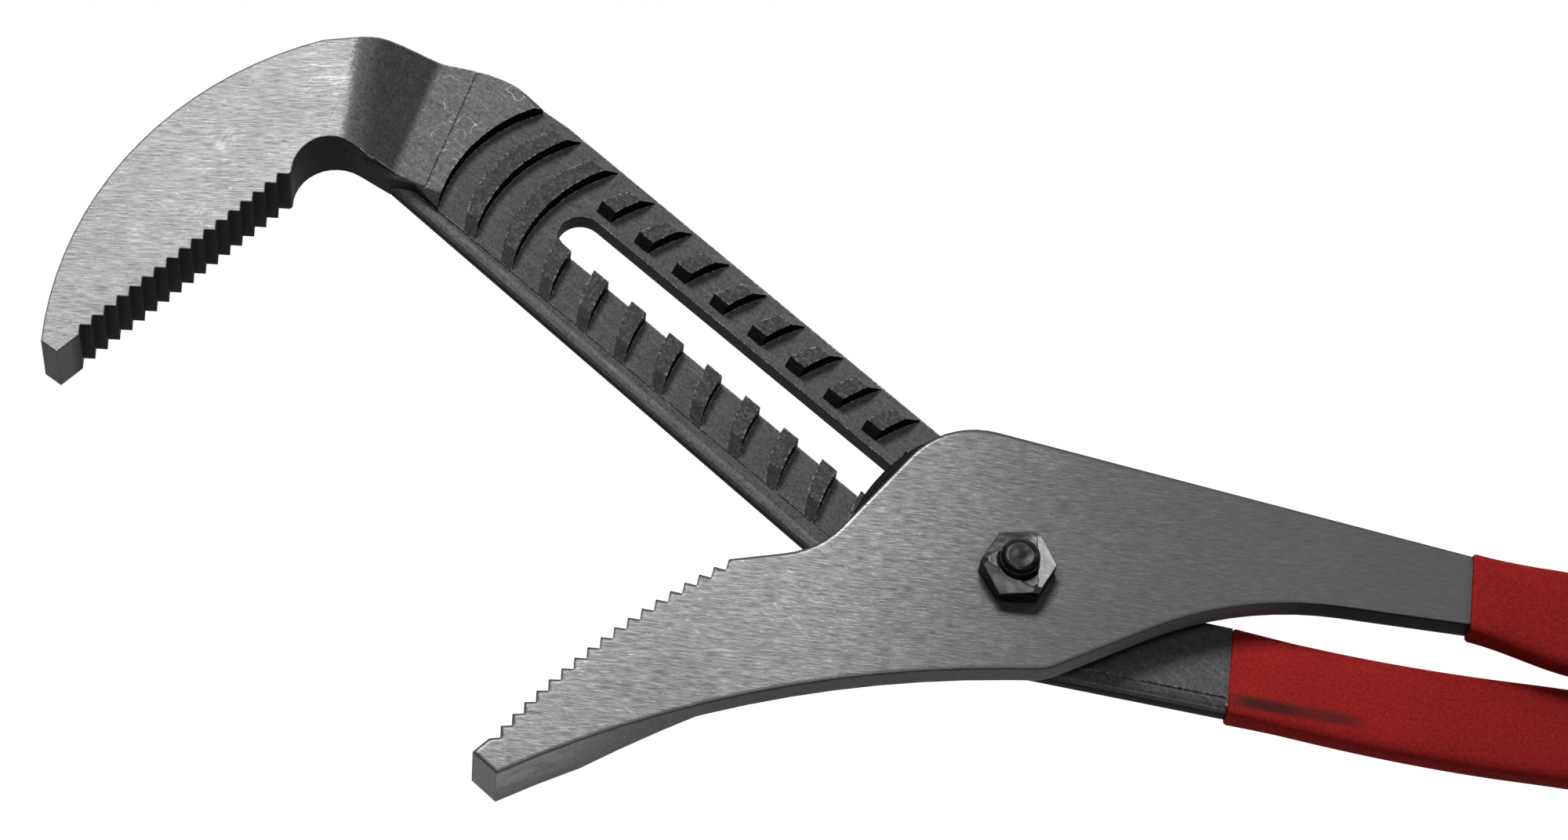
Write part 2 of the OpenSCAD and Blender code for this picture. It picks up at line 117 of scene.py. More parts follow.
class Sock:
    """One shader output, with Python operators that add the maths nodes."""

    def __init__(self, paint: "Paint", socket: bpy.types.NodeSocket) -> None:
        """Wraps a socket of a paint's node tree."""
        self.paint = paint
        self.socket = socket

    def _op(self, operation: str, *terms: Term, clamp: bool = False) -> "Sock":
        """Returns the result of a Math node on the terms."""
        settings = {"operation": operation, "use_clamp": clamp}
        return self.paint.node("ShaderNodeMath", settings, dict(enumerate(terms)))

    def __add__(self, other: Term) -> "Sock":
        """Returns the sum."""
        return self._op("ADD", self, other)

    def __radd__(self, other: Term) -> "Sock":
        """Returns the sum, with a number first."""
        return self._op("ADD", other, self)

    def __sub__(self, other: Term) -> "Sock":
        """Returns the difference."""
        return self._op("SUBTRACT", self, other)

    def __rsub__(self, other: Term) -> "Sock":
        """Returns the difference from a number."""
        return self._op("SUBTRACT", other, self)

    def __mul__(self, other: Term) -> "Sock":
        """Returns the product."""
        return self._op("MULTIPLY", self, other)

    def __rmul__(self, other: Term) -> "Sock":
        """Returns the product, with a number first."""
        return self._op("MULTIPLY", other, self)

    def __truediv__(self, other: Term) -> "Sock":
        """Returns the quotient."""
        return self._op("DIVIDE", self, other)

    def __rtruediv__(self, other: Term) -> "Sock":
        """Returns a number divided by the value."""
        return self._op("DIVIDE", other, self)

    def abs(self) -> "Sock":
        """Returns the value without its sign."""
        return self._op("ABSOLUTE", self)

    def sqrt(self) -> "Sock":
        """Returns the square root."""
        return self._op("SQRT", self)

    def maximum(self, other: Term) -> "Sock":
        """Returns the larger of two values."""
        return self._op("MAXIMUM", self, other)

    def clamp(self) -> "Sock":
        """Returns the value held between 0 and 1."""
        return self._op("ADD", self, 0.0, clamp=True)

    def about(self, mean: float, swing: float) -> "Sock":
        """Returns a noise moved to swing about a mean."""
        return (self - NOISE_MIDDLE) * swing + mean

    def line(self, width: float) -> "Sock":
        """Returns 1 on thin lines where a smooth noise crosses its middle, within the half width."""
        return (self - NOISE_MIDDLE).abs().step(width, 0.0)

    def step(self, low: float, high: float) -> "Sock":
        """Smooth step.

        Args:
            low: value where the result is 0.
            high: value where the result is 1; may be below low.

        Returns:
            The eased share of the way from low to high.
        """
        settings = {"interpolation_type": "SMOOTHSTEP"}
        if low <= high:
            return self.paint.node("ShaderNodeMapRange", settings, {0: self, 1: low, 2: high})
        return 1.0 - self.paint.node("ShaderNodeMapRange", settings, {0: self, 1: high, 2: low})

    def mix(self, low: Term, high: Term) -> "Sock":
        """Returns low where the value is 0 and high where it is 1."""
        return low + self * (high - low) if isinstance(low, Sock) else self * (high - low) + low


class Paint:
    """A material's node tree with a Principled shader."""

    def __init__(self, name: str) -> None:
        """Makes the material.

        Args:
            name: name of the material.
        """
        self.material = bpy.data.materials.new(name)
        self.material.use_nodes = True
        self.tree = self.material.node_tree
        self.shader = self.tree.nodes["Principled BSDF"]
        self._axes: dict[str, tuple[Sock, Sock, Sock]] = {}

    def node(self, kind: str, settings: Optional[dict] = None, inputs: Optional[dict] = None,
             output: Union[int, str] = 0) -> Sock:
        """Adds one node.

        Args:
            kind: Blender's node type.
            settings: node properties, set first.
            inputs: input name or index to a Sock or a constant.
            output: output name or index to return.

        Returns:
            The chosen output.
        """
        made = self.tree.nodes.new(kind)
        for key, value in (settings or {}).items():
            setattr(made, key, value)
        for key, value in (inputs or {}).items():
            self._join(made.inputs[key], value)
        return Sock(self, made.outputs[output])

    def _join(self, target: bpy.types.NodeSocket, value: Any) -> None:
        """Links an input, or sets its constant.

        Args:
            target: the input socket.
            value: a Sock or a constant.
        """
        if isinstance(value, Sock):
            self.tree.links.new(value.socket, target)
        else:
            target.default_value = value

    def feed(self, name: str, value: Any) -> None:
        """Sets the named Principled input to a Sock or a constant."""
        self._join(self.shader.inputs[name], value)

    def axes(self, source: str = "Object") -> tuple[Sock, Sock, Sock]:
        """Splits a texture coordinate, once for each source.

        Args:
            source: output of the texture coordinate node.

        Returns:
            Its three parts; positions are in millimetres, normals as they are.
        """
        if source not in self._axes:
            whole = self.node("ShaderNodeTexCoord", output=source)
            parts = [self.node("ShaderNodeSeparateXYZ", inputs={0: whole}, output=i) for i in range(3)]
            if source == "Object":
                parts = [part * PER_METRE for part in parts]
            self._axes[source] = tuple(parts)
        return self._axes[source]

    def turned(self, deg: float) -> tuple[Sock, Sock]:
        """Returns the places along and across a direction of the tool's frame, in millimetres."""
        return turned(*self.axes()[:2], deg)

    def within(self, limits: Limits) -> Sock:
        """Multiplies smooth steps along places and normals.

        Args:
            limits: for each step its axis, and where it starts and is full.

        Returns:
            1 where every step is full, 0 where one hasn't started.
        """
        mask: Term = 1.0
        for axis, low, high in limits:
            source, part = axis.value
            mask = self.axes(source)[part].step(low, high) * mask
        return mask

    def vector(self, x: Term, y: Term, z: Term) -> Sock:
        """Returns a vector of three parts."""
        return self.node("ShaderNodeCombineXYZ", inputs={0: x, 1: y, 2: z})

    def grey(self, value: Term) -> Sock:
        """Returns a grey colour of the given value."""
        return self.node("ShaderNodeCombineColor", inputs={0: value, 1: value, 2: value})

    def bump(self, height: Sock, strength: float, distance: float, normal: Optional[Sock] = None) -> Sock:
        """Tilts a normal by a height.

        Args:
            height: the height, from 0 to 1.
            strength: share of the tilt.
            distance: what a height of 1 stands for, in metres.
            normal: the normal to tilt; the surface's own where it is left out.

        Returns:
            The tilted normal.
        """
        inputs = {"Height": height, "Strength": strength, "Distance": distance}
        if normal is not None:
            inputs["Normal"] = normal
        return self.node("ShaderNodeBump", {}, inputs)

    def bevel(self, radius: float) -> Sock:
        """Returns the normal rounded over edges, by a radius in millimetres."""
        return self.node("ShaderNodeBevel", {"samples": BEVEL_SAMPLES}, {"Radius": radius * MM})

    def worn(self, radius: float) -> Sock:
        """How far the surface is from flat near an edge.

        Args:
            radius: reach of the edge in millimetres.

        Returns:
            0 on open faces, growing towards 0.3 on a square edge.
        """
        flat = self.node("ShaderNodeNewGeometry", output="True Normal")
        dot = self.node("ShaderNodeVectorMath", {"operation": "DOT_PRODUCT"},
                        {0: self.bevel(radius), 1: flat}, "Value")
        return (1.0 - dot).clamp()


@dataclass(frozen=True)
class Texture:
    """Fractal noise with a pitch of its own in each direction.

    Args:
        pitch: features per millimetre along each of three directions.
        seed: shift along the third direction, which sets textures apart.
        octaves: how many finer copies it adds.
        rough: share of each finer copy.
        share: values of the noise where its mask starts and is full.
        weight: how strongly it acts.
    """

    pitch: Triple
    seed: float = 0.0
    octaves: float = 3.0
    rough: float = 0.55
    share: Span = (0.0, 1.0)
    weight: float = 1.0

    def noise(self, p: Paint, u: Sock, v: Sock, w: Term = 0.0) -> Sock:
        """Lays the noise over a face, or through the solid where w is given.

        Args:
            p: the paint it goes in.
            u: place along the first direction, in millimetres.
            v: place along the second.
            w: place along the third.

        Returns:
            A value about 0.5.
        """
        at = p.vector(u * self.pitch[0], v * self.pitch[1], w * self.pitch[2] + self.seed)
        return p.node("ShaderNodeTexNoise", {}, {"Vector": at, "Scale": 1.0, "Detail": self.octaves,
                                                 "Roughness": self.rough})

    def mask(self, p: Paint, u: Sock, v: Sock, w: Term = 0.0) -> Sock:
        """Returns the mask of the noise, from 0 to 1."""
        return self.noise(p, u, v, w).step(*self.share)


@dataclass(frozen=True)
class Brushing:
    """Short ground strokes on a face.

    Args:
        deg: direction of the strokes in the tool's frame.
        base: mean grey of the metal.
        metal: share of metallic sheen; the strokes scatter the rest.
        depth: share of the strokes that goes into the grey.
        scuffs: x, y, heading and half length of single scuffs, in millimetres and degrees.
        rough: mean roughness, and its swing with the fine strokes.
        wander: slow drift that keeps the strokes from being straight, in millimetres.
        fine: the strokes themselves.
        broad: wider bands of strokes.
        cloud: slow change over the face.
        patch: where the slashes and the drag marks lie.
        slash: thin scratches at an angle to the strokes.
        slash_turn: that angle.
        slash_patch: values of the patch where slashes start and are full.
        drag: thin scratches along the strokes.
        drag_patch: values of the patch where drag marks start and are full.
        line_width: half width of a scratch, as a share of its noise.
        nick: bright nicks.
        pit: dark pits.
        scratch: scratches inside a scuff.
        scuff_wide: width of a scuff as a share of its length.
        scuff_edge: squared distances where a scuff starts and is full, in half lengths.
        least: least shares of the mean grey and of the mean sheen.
    """

    deg: float
    base: float
    metal: float
    depth: float = 0.4
    scuffs: tuple[Scuff, ...] = ()
    rough: Span = (0.243, 0.1)
    wander: Texture = Texture((0.02, 0.02, 0.0), 3.0, 1.0, weight=5.0)
    fine: Texture = Texture((0.25, 3.0, 0.0), rough=0.8, weight=3.8)
    broad: Texture = Texture((0.06, 1.0, 0.0), 7.0, rough=0.6, weight=0.9)
    cloud: Texture = Texture((0.03, 0.06, 0.0), 11.0, 2.0, weight=0.4)
    patch: Texture = Texture((0.05, 0.05, 0.0), 15.0, 1.0)
    slash: Texture = Texture((0.05, 0.45, 0.0), 27.0, 1.0, weight=0.4)
    slash_turn: float = -38.0
    slash_patch: Span = (0.56, 0.66)
    drag: Texture = Texture((0.03, 0.6, 0.0), 17.0, 1.0, weight=0.5)
    drag_patch: Span = (0.46, 0.36)
    line_width: float = 0.012
    nick: Texture = Texture((0.4, 1.1, 0.0), 21.0, 2.0, share=(0.66, 0.74), weight=0.7)
    pit: Texture = Texture((1.2, 1.2, 0.0), 31.0, 2.0, share=(0.70, 0.76), weight=-0.5)
    scratch: Texture = Texture((0.35, 1.7, 0.0), 0.0, 2.0, share=(0.44, 0.56), weight=0.4)
    scuff_wide: float = 0.55
    scuff_edge: Span = (1.6, 0.1)
    least: Span = (0.3, 0.15)

    def scuffed(self, p: Paint) -> Term:
        """Patches of short scratches at the set places.

        Args:
            p: the paint they go in.

        Returns:
            1 on a scratch, 0 off it.
        """
        total: Term = 0.0
        for x, y, deg, half in self.scuffs:
            along, across = p.turned(deg)
            mid_along, mid_across = turned(x, y, deg)
            u, v = (along - mid_along) / half, (across - mid_across) / (half * self.scuff_wide)
            spread = (u * u + v * v).step(*self.scuff_edge)
            total = spread * replace(self.scratch, seed=half).mask(p, along, across) + total
        return total

    def strokes(self, p: Paint) -> tuple[Sock, Sock, Sock]:
        """Strokes, clouds, nicks, scratches and pits; they act more on the sheen than on the grey.

        Args:
            p: the paint they go in.

        Returns:
            The grey, the metallic share and the fine strokes alone.
        """
        u, v = p.turned(self.deg)
        v = v + self.wander.noise(p, u, v) * self.wander.weight
        fine = self.fine.noise(p, u, v)
        broad = self.broad.noise(p, u, v)
        cloud = self.cloud.noise(p, u, v)
        patch = self.patch.noise(p, u, v)
        slash = self.slash.noise(p, *p.turned(self.deg + self.slash_turn)).line(self.line_width)
        drag = self.drag.noise(p, u, v).line(self.line_width)
        swing = fine.about(0.0, self.fine.weight)
        swing = swing + broad.about(0.0, self.broad.weight) + cloud.about(0.0, self.cloud.weight)
        swing = swing + slash * patch.step(*self.slash_patch) * self.slash.weight
        swing = swing + drag * patch.step(*self.drag_patch) * self.drag.weight
        swing = swing + self.nick.mask(p, u, v) * self.nick.weight + self.pit.mask(p, u, v) * self.pit.weight
        swing = swing + self.scuffed(p) * self.scratch.weight
        tone = (swing * self.depth + 1.0).maximum(self.least[0]) * self.base
        return tone, (swing + 1.0).maximum(self.least[1]) * self.metal, fine

    def roughness(self, fine: Sock) -> Sock:
        """Returns the roughness that goes with the fine strokes."""
        return fine.about(*self.rough)


PLATE_STROKES = Brushing(6.0, 0.124, metal=0.35, scuffs=(
    (1.0, -19.6, -6.0, 2.5), (1.2, 31.7, -22.0, 5.1), (19.6, 15.5, 40.0, 3.7),
    (-25.9, 28.9, 1.0, 4.8), (-53.9, -21.7, -23.0, 1.7)))
JAW_STROKES = Brushing(11.5, 0.155, metal=0.12, depth=0.5, scuffs=(
    (-226.6, 40.7, 55.0, 2.8), (-213.6, 48.9, 53.0, 2.7), (-195.4, 87.8, 54.0, 2.0),
    (-190.1, 92.0, 1.0, 1.6), (-215.0, 41.4, 43.0, 1.7), (-211.9, 69.5, 65.0, 4.2),
    (-233.2, 21.6, -12.0, 2.0)))


@dataclass(frozen=True)
class GroundSteel:
    """Ground plate with dark forged sides, near-black partly as painted shade, ground round its jaw tip.

    Args:
        name: material name.
        face: strokes of its ground face.
        face_at: the ground face.
        grain: texture of the sides.
        dark: grey of the forged sides, near-black partly as painted shade, and its swing.
        light: factor on the lighter sides, and its swing.
        near: grey of painted light added on the near side.
        near_light_at: the near side that gets the painted light, as far as the dark handle.
        near_light_cut: share of the near side that the tip takes over.
        tip: grey added at the ground tip.
        tip_at: the ground tip.
        tip_darkening: how much darker the face is at the tip.
        bite: direction across the teeth in degrees, and where the dark teeth are full and end along it.
        low: metallic share of the tip's lower side.
        low_at: that side.
        smear: texture of its polish.
        polish: least sheen of the face, and what its middle adds.
        polish_at: the brighter middle.
        ring: texture of the faint ring that the nut has rubbed.
        ring_r: its radius.
        ring_edge: distances from that radius where it starts and is full.
        nut_shadow: place and strength of the painted shadow round the nut, set a little off its centre.
        nut_shadow_r: radii where the painted shadow starts and is full.
        line: reach, strength and loss at the tip of the dark line of painted shade along the edges.
        side_rough: roughness of the sides.
        bump: strength and depth in metres of the strokes.
        round_mm: rounding of the edges.
    """

    name: str
    face: Brushing = PLATE_STROKES
    face_at: Limits = ((Axis.NZ, 0.8, 0.95), (Axis.Z, 20.8, 21.8))
    grain: Texture = Texture((1.2, 1.2, 1.2), octaves=4.0, rough=0.6)
    dark: Span = (0.008, 0.01)
    light: Span = (1.0, 1.1)
    near: float = 0.16
    near_light_at: Limits = ((Axis.NY, -0.2, -0.7), (Axis.X, 78.0, 50.0))
    near_light_cut: float = 0.7
    tip: float = 0.29
    tip_at: Limits = ((Axis.X, -52.0, -102.0),)
    tip_darkening: float = 0.07
    bite: Triple = (141.8, 46.2, 44.6)
    low: float = 0.5
    low_at: Limits = ((Axis.X, -82.0, -104.0), (Axis.Z, 6.0, 17.0), (Axis.NX, -0.3, 0.3))
    smear: Texture = Texture((0.15, 0.15, 0.5), share=(0.3, 0.6))
    polish: Span = (0.9, 0.5)
    polish_at: Limits = ((Axis.X, 16.0, -26.0), (Axis.X, -74.0, -38.0))
    ring: Texture = Texture((0.12, 0.12, 0.0), 0.6, 1.0, share=(0.45, 0.6), weight=0.2)
    ring_r: float = 11.8
    ring_edge: Span = (0.25, 0.05)
    nut_shadow: Triple = (0.8, -1.2, 0.35)
    nut_shadow_r: Span = (11.5, 8.5)
    line: Triple = (0.6, 0.55, 0.85)
    side_rough: float = 0.6
    bump: Span = (0.25, 0.00005)
    round_mm: float = 1.4

    def sides(self, p: Paint, tip: Sock) -> Sock:
        """Dark forged sides, near-black partly as painted shade; painted light on the near side; lighter at
        the ground tip, with dark teeth.

        Args:
            p: the paint they go in.
            tip: 1 at the ground tip.

        Returns:
            Their grey.
        """
        grain = self.grain.noise(p, *p.axes())
        # Painted light on the walls that face the near side.
        near = p.within(self.near_light_at) * (1.0 - tip * self.near_light_cut)
        toothless = p.turned(self.bite[0])[0].step(*self.bite[1:])
        light = near * self.near + tip * toothless * self.tip
        # The forged sides are near-black, partly as painted shade.
        return grain.about(*self.dark) + light * grain.about(*self.light)

    def marks(self, p: Paint, tip: Sock) -> Sock:
        """Dark edge lines of painted shade, the nut's painted shadow, the rubbed ring round the nut, and the
        darker tip.

        Args:
            p: the paint they go in.
            tip: 1 at the ground tip.

        Returns:
            The factor on the face's grey.
        """
        x, y, _ = p.axes()
        ring = ((x * x + y * y).sqrt() - self.ring_r).abs().step(*self.ring_edge)
        ring = ring * self.ring.mask(p, x, y) * self.ring.weight
        # Painted shadow of the nut, darker inside the radii and set a little off the nut's centre.
        dx, dy = x - self.nut_shadow[0], y - self.nut_shadow[1]
        darkening = (dx * dx + dy * dy).sqrt().step(*self.nut_shadow_r) * self.nut_shadow[2]
        # Dark line of painted shade along the edges, weaker at the tip.
        line = p.worn(self.line[0]).step(*EDGE_SHADE_LINE) * (1.0 - tip * self.line[2]) * self.line[1]
        return (1.0 - line) * (1.0 - darkening) * (ring + 1.0) * (1.0 - tip * self.tip_darkening)

    def material(self) -> bpy.types.Material:
        """Mixes the ground face and the sides.

        Returns:
            The material.
        """
        p = Paint(self.name)
        tip, face = p.within(self.tip_at), p.within(self.face_at)
        tone, sheen, fine = self.face.strokes(p)
        low = p.within(self.low_at) * self.smear.mask(p, *p.axes()) * self.low
        polish = p.within(self.polish_at) * self.polish[1] + self.polish[0]
        p.feed("Base Color", p.grey(face.mix(self.sides(p, tip), tone * self.marks(p, tip))))
        p.feed("Metallic", face.mix(low, sheen * polish))
        p.feed("Roughness", face.mix(self.side_rough, self.face.roughness(fine)))
        p.feed("Specular IOR Level", STEEL_SPECULAR)
        p.feed("Normal", p.bump(fine, *self.bump, p.bevel(self.round_mm)))
        return p.material


@dataclass(frozen=True)
class ForgedZones:
    """Where each skin of the forged lever lies, as masks from 0 to 1.

    Args:
        up: faces that look up, and the bar's near edge.
        high: what stands above the ribs.
        top: tops of the ribs and the pad.
        pad: flat pad behind the ramp.
        near: rounded near edge, which gets painted light.
        ground: ground jaw face.
        fade: strip of the ramp beside the ground face.
    """

    up: Sock
    high: Sock
    top: Sock
    pad: Sock
    near: Sock
    ground: Sock
    fade: Sock


@dataclass(frozen=True)
class ForgedSteel:
    """Dark forged lever, with a ground jaw face and rubbed rib tops, its walls painted near-black as shade
    and its near edge painted lighter.

    Places, distances and heights are in millimetres, angles in degrees.

    Args:
        name: material name.
        face: strokes of the ground jaw face.
        grain: texture of the forged skin.
        base: grey of the groove floors and the handle.
        pad: grey of the flat pad behind the ramp.
        rib: grey of the rib tops.
        near: grey of the rounded near edge, lighter as painted light.
        ramp: grey of the ramp between jaw and pad, and what is added beside the ground face.
        wall_shade: grey of the walls, near-black as painted shade, and its swing.
        tip: grey added on the walls of the jaw tip, and its swing.
        tip_at: the jaw tip.
        up_at: faces that look up.
        bar_at: the bar's near edge, which is skin and not dark wall.
        high_at: what stands above the ribs.
        top_at: flat tops.
        near_light_at: the rounded near edge, which gets painted light.
        ground_at: the ground face, but for its end.
        lip_at: rounded strips of the ground face that are levelled.
        darkening_at: where the ground face gets darker towards its tip.
        slot_deg: angle of the slot below the tool's x.
        head: centre of the first groove along the slot.
        head_r: distances from it where the pad starts and is full.
        head_dx: places along the slot from it where the pad starts and is full.
        ground_deg: direction across the end of the ground face.
        ground_end: places along it where the ground face starts and is full.
        ground_ragged: how far the grain moves that end.
        fade_end: places along it where the strip beside the ground face starts and is full.
        lip_lift: how strongly the rounded strips are levelled.
        darkening: how much darker the ground face gets.
        line: reach and strength of the dark line of painted shade along the ground face's edges.
        change: factor of the grain on the skin, and its swing.
        change_least: its least value.
        streak: scale streaks along the slot.
        streak_mean: mean of the streaks, taken off.
        pit: dark pits.
        fleck: bright flecks on the rib tops.
        rub: reach and strength of the rubbed edges, and their share above the ribs.
        rub_share: values of the edge mask where they start and are full.
        crack: fine bright cracks on the pad.
        crack_width: their half width, as a share of the noise.
        crack_patch: where they lie.
        blackest: least grey of the skin.
        rough: roughness of the skin, and its swing.
        bump: strength and depth in metres of the grain.
        bump_fine: share of that depth that the strokes have.
        round_mm: rounding of the edges.
    """

    name: str
    face: Brushing = JAW_STROKES
    grain: Texture = Texture((1.3, 1.3, 1.3), octaves=4.0, rough=0.85)
    base: float = 0.1
    pad: float = 0.15
    rib: float = 0.055
    near: float = 0.2
    ramp: Span = (0.055, 0.06)
    wall_shade: Span = (0.003, 0.004)
    tip: Span = (0.15, 0.1)
    tip_at: Limits = ((Axis.X, -231.0, -235.0), (Axis.Y, 12.0, 7.0))
    up_at: Limits = ((Axis.NZ, 0.15, 0.7),)
    bar_at: Limits = ((Axis.Z, 10.6, 10.9), (Axis.Z, 11.9, 11.7), (Axis.X, 6.0, 14.0))
    high_at: Limits = ((Axis.Z, 14.45, 15.15),)
    top_at: Limits = ((Axis.NZ, 0.9, 0.98), (Axis.Z, 13.85, 14.15))
    near_light_at: Limits = ((Axis.NY, -0.1, -0.4), (Axis.NZ, 0.05, 0.25), (Axis.Z, 10.15, 9.85))
    ground_at: Limits = ((Axis.NZ, 0.72, 0.86), (Axis.Z, 18.6, 19.6))
    lip_at: Limits = ((Axis.NZ, 0.9995, 0.985),)
    darkening_at: Limits = ((Axis.X, -172.0, -238.0),)
    slot_deg: float = 30.0
    head: float = -137.5
    head_r: Span = (38.4, 39.4)
    head_dx: Span = (-12.0, -20.0)
    ground_deg: float = 5.7
    ground_end: Span = (-173.3, -176.5)
    ground_ragged: float = 6.0
    fade_end: Span = (-167.9, -173.9)
    lip_lift: float = 4.0
    darkening: float = 0.11
    line: Span = (0.5, 0.7)
    change: Span = (1.0, 2.2)
    change_least: float = 0.2
    streak: Texture = Texture((0.12, 1.5, 1.5), share=(0.5, 0.75), weight=0.4)
    streak_mean: float = 0.3
    pit: Texture = Texture((1.1, 1.1, 1.1), 44.0, 2.0, share=(0.58, 0.66), weight=0.32)
    fleck: Texture = Texture((1.3, 1.3, 1.3), 117.0, rough=0.7, share=(0.5, 0.62), weight=0.05)
    rub: Triple = (0.9, 0.3, 0.35)
    rub_share: Span = (0.01, 0.12)
    crack: Texture = Texture((0.16, 0.16, 0.16), octaves=1.0, weight=0.35)
    crack_width: float = 0.01
    crack_patch: Texture = Texture((0.11, 0.11, 0.11), share=(0.5, 0.56))
    blackest: float = 0.006
    rough: Span = (0.6, 0.3)
    bump: Span = (0.6, 0.00015)
    bump_fine: float = 0.3
    round_mm: float = 0.6

    def zones(self, p: Paint, grain: Sock) -> ForgedZones:
        """Works the masks out from places and normals.

        Args:
            p: the paint they go in.
            grain: noise of the skin, which makes the end of the ground face ragged.

        Returns:
            The masks.
        """
        along, beside = p.turned(-self.slot_deg)
        dx = along - self.head
        across, _ = p.turned(self.ground_deg)
        edge = (across + grain.about(0.0, self.ground_ragged)).step(*self.ground_end)
        high = p.within(self.high_at)
        return ForgedZones(
            up=p.within(self.up_at).maximum(p.within(self.bar_at)),
            high=high,
            top=p.within(self.top_at) * (1.0 - high),
            pad=(dx * dx + beside * beside).sqrt().step(*self.head_r) * dx.step(*self.head_dx),
            near=p.within(self.near_light_at),
            ground=p.within(self.ground_at) * edge,
            fade=across.step(*self.fade_end),
        )

    def skin(self, p: Paint, zone: ForgedZones, grain: Sock) -> Sock:
        """Forged skin: a grey for each zone, times grain, streaks and pits, plus flecks, rubs and cracks.

        Args:
            p: the paint it goes in.
            zone: the masks.
            grain: noise of the skin.

        Returns:
            Its grey.
        """
        x, y, z = p.axes()
        # The rounded near edge gets a lighter grey as painted light.
        low = zone.near.mix(self.base, self.near)
        flat = zone.pad.mix(self.rib, self.pad)
        tone = (zone.high * zone.up).mix(zone.top.mix(low, flat), zone.fade * self.ramp[1] + self.ramp[0])
        fleck = self.fleck.mask(p, x, y, z)
        rub = p.worn(self.rub[0]).step(*self.rub_share) * (fleck + zone.high * self.rub[2])
        crack = self.crack.noise(p, x, y, z).line(self.crack_width) * self.crack_patch.mask(p, x, y, z)
        streak = (self.streak.mask(p, *p.turned(-self.slot_deg), z) - self.streak_mean) * self.streak.weight
        change = (grain.about(*self.change) + streak).maximum(self.change_least)
        tone = tone * change * (1.0 - self.pit.mask(p, x, y, z) * self.pit.weight)
        tone = tone + zone.top * fleck * self.fleck.weight + zone.up * rub * self.rub[1]
        return (tone + crack * zone.top * zone.pad * self.crack.weight).maximum(self.blackest)

    def walls(self, p: Paint, grain: Sock) -> Sock:
        """Returns the grey of the walls, near-black as painted shade, lighter at the jaw tip."""
        return grain.about(*self.wall_shade) + p.within(self.tip_at) * grain.about(*self.tip)

    def material(self) -> bpy.types.Material:
        """Mixes the ground face, the skin and the walls.

        Returns:
            The material.
        """
        p = Paint(self.name)
        grain = self.grain.noise(p, *p.axes())
        zone = self.zones(p, grain)
        tone, sheen, fine = self.face.strokes(p)
        # Dark line of painted shade along the ground face's edges.
        line = 1.0 - p.worn(self.line[0]).step(*EDGE_SHADE_LINE) * self.line[1]
        dim = 1.0 - p.within(self.darkening_at) * self.darkening
        # Faces that don't look up take the walls' near-black painted shade.
        forged = zone.up.mix(self.walls(p, grain), self.skin(p, zone, grain))
        p.feed("Base Color", p.grey(zone.ground.mix(forged, tone * line * dim)))
        p.feed("Metallic", zone.ground * sheen * dim)
        p.feed("Roughness", zone.ground.mix(grain.about(*self.rough), self.face.roughness(fine)))
        p.feed("Specular IOR Level", STEEL_SPECULAR)
        lift = p.within(self.lip_at) * zone.ground * self.lip_lift
        level = p.node("ShaderNodeVectorMath", {"operation": "ADD"},
                       {0: p.bevel(self.round_mm), 1: p.vector(0.0, 0.0, lift)})
        p.feed("Normal", p.bump(zone.ground.mix(grain, fine * self.bump_fine), *self.bump, level))
        return p.material


